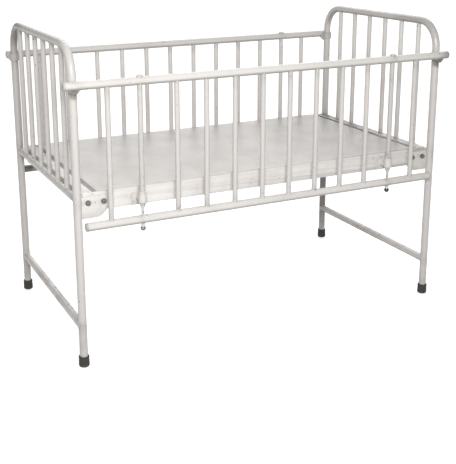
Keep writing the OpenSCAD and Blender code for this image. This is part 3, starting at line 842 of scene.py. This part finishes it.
def old_steel(name, dark, worn, rust, rough, metal):
    """Steel with a dark skin, rubbed bright on some spots and freckled with rust."""
    steel, tree, shader, place = finish_started(name)
    shader["Metallic"].default_value = metal
    spots = mottle(tree, place, 190.0, 4.0, 0.6)
    freckles = stepped(tree, mottle(tree, place, 420.0, 3.0, 0.6), 0.58, 0.68, 0.0, 0.6)
    colour = layered(tree, dark, [(stepped(tree, spots, 0.45, 0.75), worn), (freckles, rust)])
    finish_joined(tree, shader, colour, stepped(tree, spots, 0.3, 0.8, rough - 0.08, rough + 0.2),
                  0.3, 0.0002, spots)
    return steel


hardware = hardware_tree()
dark_steel = old_steel("darkened_steel", (0.13, 0.126, 0.121), (0.25, 0.243, 0.235), (0.13, 0.085, 0.058),
                       0.42, 0.35)
bolt_places = [((sx * (post_x - inset), sy * bolt_head_face_y, bolt_z), (0, sy, 0))
               for sx, insets in ((-1, left_bolts), (1, right_bolts)) for sy in (-1, 1) for inset in insets]
for label, draw, seed in (("bolts", draw_bolt, 3), ("washers", draw_washers, 4), ("nuts", draw_nut, 8)):
    piece = set_out("plate_" + label, draw, bolt_places, dark_steel, seed)
    fixed(piece, "frame", ["frame_" + label])


# Guide brackets. Four small iron castings stand on the side irons: a bell with a narrow waist
# on a short arm and a square foot. The sand-cast skin shows through the paint as soft dimples.
casting_voxel = 0.0009


def cast(name, node, voxel, rounds):
    """A copy of a CAD part with all its edges melted a little, like a casting."""
    piece = copied(name, node)
    modified(piece, "REMESH", mode="VOXEL", voxel_size=voxel, use_smooth_shade=True)
    modified(piece, "SMOOTH", factor=0.5, iterations=rounds)
    return set_hard(piece)


casting_enamel = enamel("casting_enamel", brush=(14, 14, 14), gloss=0.34, chip_level=0.69,
                        knocks=[("Z", 0.500, 0.02), ("Z", 0.545, 0.012)])
for corner, sx, sy in corners:
    bracket = cast("bell_bracket_" + corner, "guide_bracket_" + corner, casting_voxel, 3)
    fixed(bracket, "frame", ["guide_bracket_" + corner], casting_enamel)


# Guide tubes and their caps. A 16 mm tube is driven into each bell and runs up through the top rail, and a
# low domed cap with a rolled rim closes it just above the rail. The far ones are painted a lighter white and
# the near ones a darker one, like the side bars: painted light and painted shade for how the lamps fall on
# the two sides.
rail_y = 0.367
guide_bottom, guide_top = 0.530, 0.8952
guide_wall = 0.0016
# A lighter white for the far side: painted light.
far_side_lit_white = (0.66, 0.64, 0.625)
cap_profile = [
    (0.0, -0.0138), (0.0058, -0.0138), (0.0063, -0.0130), (0.0063, -0.0004), (0.0098, 0.0),
    (0.0107, 0.0004), (0.0110, 0.0011), (0.0107, 0.0018), (0.0098, 0.0024), (0.0084, 0.0033),
    (0.0066, 0.0042), (0.0045, 0.0049), (0.0022, 0.0053), (0.0, 0.0054)]
guide_enamel = {row: enamel(row + "_guide_enamel", white=white, chip_level=0.705,
                            knocks=[("Z", 0.556, 0.03), ("Z", 0.86, 0.10)])
                for row, white in (("near", (0.51, 0.495, 0.482)), ("far", far_side_lit_white))}
cap_enamel = enamel("cap_enamel", brush=(20, 20, 20), knocks=[("Z", 0.90, 0.02)], chip_level=0.69)
for corner, sx, sy in corners:
    x, y = guide_x[sx > 0], sy * rail_y
    tube = straight("guide_" + corner, [((x, y, guide_bottom), (x, y, guide_top))], bar_r, 0.03,
                    guide_enamel[corner.split("_")[0]])
    open_tube = bmesh.new()
    open_tube.from_mesh(tube.data)
    bmesh.ops.delete(open_tube, geom=[f for f in open_tube.faces if len(f.verts) > 4], context="FACES")
    open_tube.to_mesh(tube.data)
    open_tube.free()
    modified(tube, "SOLIDIFY", thickness=guide_wall, offset=-1)
    fixed(set_hard(tube), "frame", ["guide_tube_" + corner])
    cap = turned("dome_" + corner, cap_profile, (x, y, guide_top), steps=40)
    fixed(cap, "frame", ["guide_cap_" + corner], cap_enamel)


# Spring catches. Inside each bracket's arm a steel ball, a spring and a set screw press on the
# stay rod and hold the side up. Only the screw's end can be seen, from inside the frame.
ground_steel = old_steel("ground_steel", (0.42, 0.42, 0.42), (0.60, 0.60, 0.59), (0.30, 0.26, 0.22),
                         0.28, 0.85)
for node, steel in (("catch_balls", ground_steel), ("catch_springs", ground_steel),
                    ("catch_screws", dark_steel)):
    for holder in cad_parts[node].material_slots:
        holder.material = steel


# Rails of the drop sides. Each is a 25.4 mm tube; the top one passes outside both posts and is
# drilled for the guide tubes, the bottom one stops short of the posts. Domed caps are welded
# over their ends.
top_rail_z, bottom_rail_z = 0.882, 0.458
near_top_x, far_top_x = (-0.688, 0.680), (-0.675, 0.675)
bottom_x = (-0.637, 0.630)
guide_hole_r = 0.0085
rail_cap_profile = [
    (0.0, -0.0060), (0.0118, -0.0060), (0.0122, -0.0050), (0.0127, -0.0040), (0.0127, -0.0008),
    (0.0124, 0.0), (0.0115, 0.0006), (0.0097, 0.0012), (0.0074, 0.0019), (0.0050, 0.0024),
    (0.0025, 0.0028), (0.0, 0.0029)]
rail_cap_dome, rail_cap_h = 0.003, 0.006
# Dark spots of painted shade: the platform's shadow on the left end of the far bottom rail, and the rail's
# own shade at the right end of the near top rail.
shaded_rail_ends = [((bottom_x[0] + 0.010, rail_y - 0.010, bottom_rail_z), 0.040, 0.85),
               ((near_top_x[1] - 0.008, -rail_y - 0.008, top_rail_z - 0.005), 0.032, 0.45)]
# The rails' faces that look down are darkened as painted shade, and the end spots are painted shade.
rail_enamel = enamel("rail_enamel", brush=(3, 40, 40), white=(0.645, 0.626, 0.61), knocks=[
    ("X", -0.65, 0.04), ("X", 0.65, 0.04), ("X", guide_x[0], 0.025), ("X", guide_x[1], 0.025)],
    underside_shade=0.6, shade_and_grease_spots=shaded_rail_ends)
# The caps carry the same dark spots of painted shade.
rail_cap_enamel = enamel("rail_cap_enamel", brush=(20, 20, 20), white=(0.50, 0.485, 0.465),
                         chip_level=0.68, knocks=[("X", x, 0.03) for x in (-0.68, 0.68, -0.63, 0.63)],
                         shade_and_grease_spots=shaded_rail_ends)


def drilled(piece, xs, y, z, radius):
    """Drills upright holes through a rail at the given places."""
    build = bmesh.new()
    for x in xs:
        bmesh.ops.create_cone(build, cap_ends=True, segments=40, radius1=radius, radius2=radius,
                              depth=0.06, matrix=Matrix.Translation((x, y, z)))
    drill = shown("drill", meshed("drill", build))
    modified(piece, "BOOLEAN", operation="DIFFERENCE", solver="EXACT", object=drill)
    set_hard(piece)
    bpy.data.objects.remove(drill)


rows = (("near", -1, near_top_x), ("far", 1, far_top_x))
for row, sy, top_x in rows:
    y = sy * rail_y
    rail_runs = (("top", top_rail_z, top_x), ("bottom", bottom_rail_z, bottom_x))
    for label, z, (x0, x1) in rail_runs:
        rail = straight("%s_%s_tube" % (row, label), [((x0 + rail_cap_h, y, z), (x1 - rail_cap_h, y, z))],
                        tube_r, 0.025, rail_enamel, Sides=48)
        if label == "top":
            drilled(rail, guide_x, y, z, guide_hole_r)
        fixed(rail, row + "_side", ["%s_%s_rail" % (row, label)])
    build = bmesh.new()
    for label, z, (x0, x1) in rail_runs:
        for x, tilt in ((x0 + rail_cap_dome, -90), (x1 - rail_cap_dome, 90)):
            cap = turned("rail_cap", rail_cap_profile, (x, y, z), 48, tilt)
            build.from_mesh(cap.data)
            bpy.data.objects.remove(cap)
    caps = shown(row + "_rail_caps", meshed(row + "_rail_caps", build))
    caps.data.shade_smooth()
    fixed(caps, row + "_side", [row + "_rail_ends"], rail_cap_enamel)


# Bars of the drop sides. Ten 16 mm tubes are let into both rails of each side and welded, and
# the joints of the rails' caps are welded with them.
side_bar_x = (-0.555, -0.336, -0.238, -0.140, -0.042, 0.056, 0.154, 0.252, 0.350, 0.543)
# The near bars are a darker white, as painted shade, and the far ones a lighter one, as painted light.
side_bar_enamel = {row: enamel(row + "_bar_enamel", white=white,
                               knocks=[("Z", 0.478, 0.04), ("Z", 0.862, 0.04)])
                   for row, white in (("near", (0.555, 0.538, 0.525)), ("far", far_side_lit_white))}
along_x = (1, 0, 0)
sunk_r = tube_r - 0.0017
for row, sy, top_x in rows:
    y = sy * rail_y
    bars = grown(row + "_bars_painted", bar_row, [(x, y, bottom_rail_z) for x in side_bar_x], [],
                 {"Bar length": top_rail_z - bottom_rail_z, "Seed": 41.0 + sy,
                  "Paint": side_bar_enamel[row]})
    fixed(bars, row + "_side", [row + "_side_bars"])
    seams = Seams()
    for x in side_bar_x:
        seams.round_joint(ring_seam((x, y, bottom_rail_z), along_x, up, tube_r, bar_r))
        seams.round_joint(ring_seam((x, y, top_rail_z), along_x, down, tube_r, bar_r))
    for (x0, x1), z in ((top_x, top_rail_z), (bottom_x, bottom_rail_z)):
        for x in (x0 + rail_cap_h, x1 - rail_cap_h):
            seams.round_joint([(x, y + a, z + b) for a, b, level in circle(sunk_r, 0, 40)])
    welds = grown(row + "_side_welds", weld_bead, seams.points, seams.edges,
                  {"Bead radius": side_bead_r, "Seed": 6.0, "Paint": weld_enamel})
    fixed(welds, row + "_side")


# Collars. A short ring slides on each post behind the top rail, with a tapered saddle that is welded under
# the rail. Their white is darker, and on the near side darker still just under the rail: painted shade of
# the rail, where they are also greasy.
collar_voxel = 0.0007
collar_enamel = enamel("collar_enamel", brush=(14, 14, 14), chip_level=0.69, white=(0.46, 0.445, 0.43),
                       knocks=[("Z", 0.858, 0.012), ("Z", 0.889, 0.008)],
                       shade_and_grease_spots=[((x, -0.360, 0.857), 0.024, 0.8) for x in (-post_x, post_x)])
for corner, sx, sy in corners:
    row, label = corner.split("_")
    node = "%s_collar_%s" % (row, label)
    collar = cast("sliding_" + node, node, collar_voxel, 2)
    fixed(collar, row + "_side", [node], collar_enamel)


# Stay rods, nuts and knobs. An 8.5 mm rod is fixed in the bottom rail below each guide and slides
# up inside the guide tube. A nut locks it under the rail, and a black ball knob ends it.
rod_r, rod_low, rod_high = 0.00425, 0.4296, 0.880
nut_top = bottom_rail_z - tube_r
rod_nut_h, rod_nut_across = 0.006, 0.012
neck_low = 0.4358
knob_profile = [
    (0.0, -0.0083), (0.0022, -0.0080), (0.0044, -0.00704), (0.0063, -0.0054), (0.0075, -0.0035),
    (0.00815, -0.0014), (0.0083, 0.0), (0.00835, 0.0004), (0.0081, 0.0018), (0.0074, 0.0037),
    (0.0064, 0.0053), (0.0055, 0.0063), (0.0052, 0.0072), (0.0052, 0.0096)]
rod_enamel = enamel("rod_enamel", white=(0.57, 0.553, 0.54), chip_level=0.69, knocks=[("Z", 0.48, 0.02)])


def gloss_black():
    """Black moulded plastic with a fine haze of scratches, and brush marks of white on its neck.
    The left ones are greyer in patches all over."""
    black, tree, shader, place = finish_started("knob_black")
    haze = mottle(tree, place, 260.0, 5.0, 0.6)
    axes = put(tree, "ShaderNodeSeparateXYZ", {"Vector": place}).outputs
    ragged = joined(tree, "ADD", axes["Z"], joined(tree, "MULTIPLY", mottle(tree, place, 150.0), 0.0012))
    greyer_left = joined(tree, "MULTIPLY", stepped(tree, axes["X"], 0.1, -0.1),
                     stepped(tree, mottle(tree, place, 110.0), 0.30, 0.60, 0.45, 0.85))
    colour = layered(tree, (0.014, 0.014, 0.015), [
        (stepped(tree, haze, 0.45, 0.8), (0.05, 0.049, 0.048)), (greyer_left, (0.26, 0.252, 0.245)),
        (stepped(tree, ragged, neck_low, neck_low + 0.0004), white_enamel)])
    finish_joined(tree, shader, colour, stepped(tree, haze, 0.35, 0.75, 0.14, 0.34), 0.2, 0.0002, haze)
    return black


def draw_rod_nut(build):
    hexagon(build, rod_nut_across, -rod_nut_h, 0.0, bore=rod_r)


def draw_knob(build):
    rings = lathed(build, knob_profile, 40)
    build.faces.new(rings[-1])


knob_black = gloss_black()
for row, sy, top_x in rows:
    y = sy * rail_y
    rods = straight(row + "_rods_painted", [((x, y, rod_low), (x, y, rod_high)) for x in guide_x],
                    rod_r, 0.03, rod_enamel, Sides=28)
    fixed(rods, row + "_side", [row + "_stay_rods"])
    nuts = set_out(row + "_lock_nuts", draw_rod_nut, [((x, y, nut_top), up) for x in guide_x],
                   rod_enamel, 5 + sy)
    fixed(nuts, row + "_side", [row + "_rod_nuts"])
    knobs = set_out(row + "_ball_knobs", draw_knob, [((x, y, rod_low), up) for x in guide_x],
                    knob_black, 7)
    fixed(knobs, row + "_side", [row + "_rod_knobs"])
